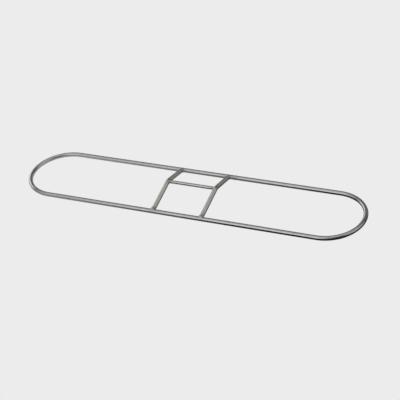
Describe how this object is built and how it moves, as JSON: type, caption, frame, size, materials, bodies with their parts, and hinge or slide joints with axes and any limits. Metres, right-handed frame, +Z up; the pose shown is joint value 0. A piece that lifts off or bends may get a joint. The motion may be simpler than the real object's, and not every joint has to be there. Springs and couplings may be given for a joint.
{
  "type": "dust mop frame",
  "caption": "Flat racetrack loop of plated steel wire with tent-bent cross wires and a raised pivot bar that a mop handle's clamp closes round.",
  "frame": {"origin": "on the floor, under the middle of the frame", "axes": "+X along the frame's length, +Y across it from the near rail to the far rail, +Z up towards the pivot bar"},
  "size_m": [0.61, 0.127, 0.0265],
  "materials": {
    "plated_wire": "bright zinc plating over drawn steel wire",
    "weld": "plated weld metal, rougher and a little duller than the wire"
  },
  "bodies": {
    "root": {"loop_wire": "plated_wire", "loop_butt_weld": "weld", "left_cross_wire": "plated_wire", "right_cross_wire": "plated_wire", "left_near_weld": "weld", "left_far_weld": "weld", "right_near_weld": "weld", "right_far_weld": "weld", "pivot_bar": "plated_wire", "pivot_bar_left_weld": "weld", "pivot_bar_right_weld": "weld"}
  },
  "joints": []
}
